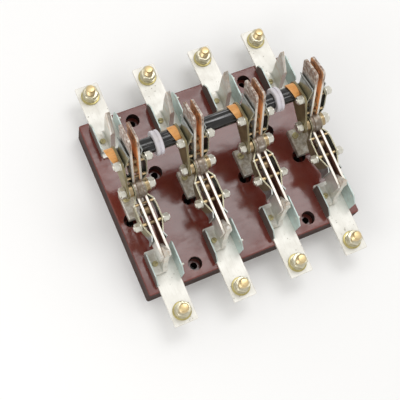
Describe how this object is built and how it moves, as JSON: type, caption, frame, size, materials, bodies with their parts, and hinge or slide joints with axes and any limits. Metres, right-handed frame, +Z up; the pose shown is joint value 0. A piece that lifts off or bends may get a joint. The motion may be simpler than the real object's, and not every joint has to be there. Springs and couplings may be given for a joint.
{
  "type": "knife transfer switch",
  "caption": "Open double-throw knife switch: twin blades on centre hinges swing between near and far contact tongues on an insulating base.",
  "frame": {"origin": "middle of the underside of the base plate", "axes": "+X along the row of poles, +Y from the near terminals to the far terminals, +Z up from the base"},
  "size_m": [0.298, 0.333, 0.1817],
  "materials": {
    "base_moulding": "glossy compression-moulded thermoset, maroon",
    "tinned_copper": "copper bar with bright tin plating",
    "tinned_tongue": "tinned copper, wiped by the blades",
    "tinned_post": "tinned copper, slightly dull",
    "side_plate_zinc": "zinc plate with a pale blue-green passivation",
    "blade_copper": "copper blades, bare inside and tinned outside",
    "spring_steel": "zinc-plated spring steel",
    "bolt_zinc": "bright zinc plate",
    "yellow_zinc": "zinc plate with a yellow passivation",
    "shaft_black": "glossy black insulating tube",
    "bracket_yellow": "zinc plate with an olive-yellow passivation",
    "insulator_orange": "orange-brown laminated insulation",
    "ring_nylon": "white nylon"
  },
  "bodies": {
    "fixed_base": {"base_plate": "base_moulding", "near_terminal_1": "tinned_copper", "near_terminal_2": "tinned_copper", "near_terminal_3": "tinned_copper", "near_terminal_4": "tinned_copper", "far_terminal_1": "tinned_copper", "far_terminal_2": "tinned_copper", "far_terminal_3": "tinned_copper", "far_terminal_4": "tinned_copper", "near_tongue_1": "tinned_tongue", "near_tongue_2": "tinned_tongue", "near_tongue_3": "tinned_tongue", "near_tongue_4": "tinned_tongue", "far_tongue_1": "tinned_tongue", "far_tongue_2": "tinned_tongue", "far_tongue_3": "tinned_tongue", "far_tongue_4": "tinned_tongue", "centre_post_1": "tinned_post", "centre_post_2": "tinned_post", "centre_post_3": "tinned_post", "centre_post_4": "tinned_post", "near_side_plates": "side_plate_zinc", "far_side_plates": "side_plate_zinc", "near_studs": "yellow_zinc", "far_studs": "yellow_zinc", "hinge_bolts": "bolt_zinc"},
    "contact_group": {"blade_pair_1": "blade_copper", "blade_pair_2": "blade_copper", "blade_pair_3": "blade_copper", "blade_pair_4": "blade_copper", "spring_plates_1": "spring_steel", "spring_plates_2": "spring_steel", "spring_plates_3": "spring_steel", "spring_plates_4": "spring_steel", "cross_shaft": "shaft_black", "shaft_brackets": "bracket_yellow", "shaft_insulators": "insulator_orange", "shaft_rings": "ring_nylon", "raised_clamp_bolts": "bolt_zinc", "closed_clamp_bolts": "bolt_zinc"}
  },
  "joints": [
    {"name": "contact_throw", "type": "hinge", "parent": "fixed_base", "child": "contact_group", "pos_m": [0, 0, 0.098], "axis": [-1, 0, 0], "range_deg": [0, 73]}
  ]
}
